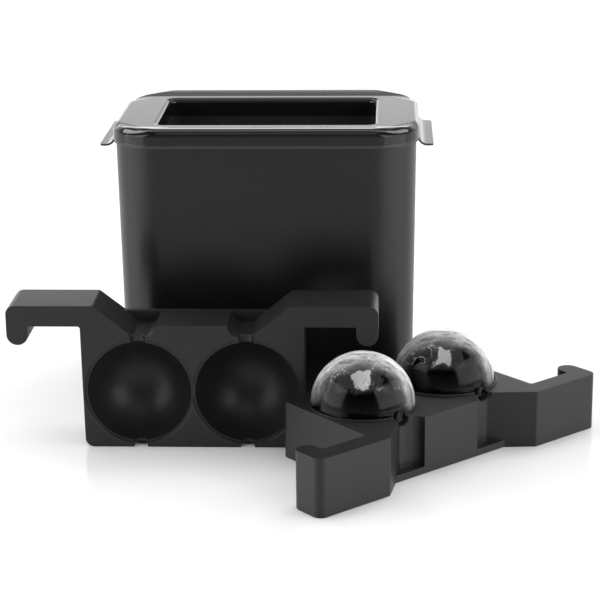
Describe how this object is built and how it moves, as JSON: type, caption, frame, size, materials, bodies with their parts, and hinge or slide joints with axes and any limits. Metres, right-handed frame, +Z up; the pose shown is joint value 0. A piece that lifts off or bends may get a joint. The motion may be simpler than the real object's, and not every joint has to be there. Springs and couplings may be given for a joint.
{
  "type": "ice ball mold",
  "caption": "Insulated water tank with a lift-off frame, a split silicone mold whose hooked arms hang on it, and the clear ice balls it freezes, set out on a worktop.",
  "frame": {"origin": "centre of the tank's flat base, on the worktop", "axes": "+Z up; -Y towards the front, where the mold halves stand and lie; +X to the right, along the tank's long side"},
  "size_m": [0.3396, 0.2947, 0.174],
  "materials": {
    "shell_plastic": "gloss",
    "frame_plastic": "gloss",
    "liner_plastic": "satin",
    "foam": "matte",
    "mold_silicone": "satin",
    "ice": "polished"
  },
  "bodies": {
    "tank": {"outer_shell": "shell_plastic", "foam_insulation": "foam"},
    "liner": {"inner_liner": "liner_plastic"},
    "frame": {"top_frame": "frame_plastic"},
    "standing_half": {"standing_mold_half": "mold_silicone"},
    "lying_half": {"lying_mold_half": "mold_silicone"},
    "left_ball": {"left_ice_ball": "ice"},
    "right_ball": {"right_ice_ball": "ice"}
  },
  "joints": [
    {"name": "liner_lift", "type": "slide", "parent": "tank", "child": "liner", "axis": [0, 0, 1], "range_m": [0, 0.15]},
    {"name": "frame_lift", "type": "slide", "parent": "liner", "child": "frame", "axis": [0, 0, 1], "range_m": [0, 0.05]},
    {"name": "standing_half_lift", "type": "slide", "parent": "tank", "child": "standing_half", "axis": [0, 0, 1], "range_m": [0, 0.18]},
    {"name": "lying_half_draw", "type": "slide", "parent": "tank", "child": "lying_half", "axis": [0.6665, -0.7455, 0], "range_m": [0, 0.12]},
    {"name": "left_ball_lift", "type": "slide", "parent": "lying_half", "child": "left_ball", "axis": [0, 0, 1], "range_m": [0, 0.06]},
    {"name": "right_ball_lift", "type": "slide", "parent": "lying_half", "child": "right_ball", "axis": [0, 0, 1], "range_m": [0, 0.06]}
  ],
  "couplings": [
    {"joint": "left_ball_lift", "follows": "lying_half_draw", "ratio": 0.5}
  ]
}
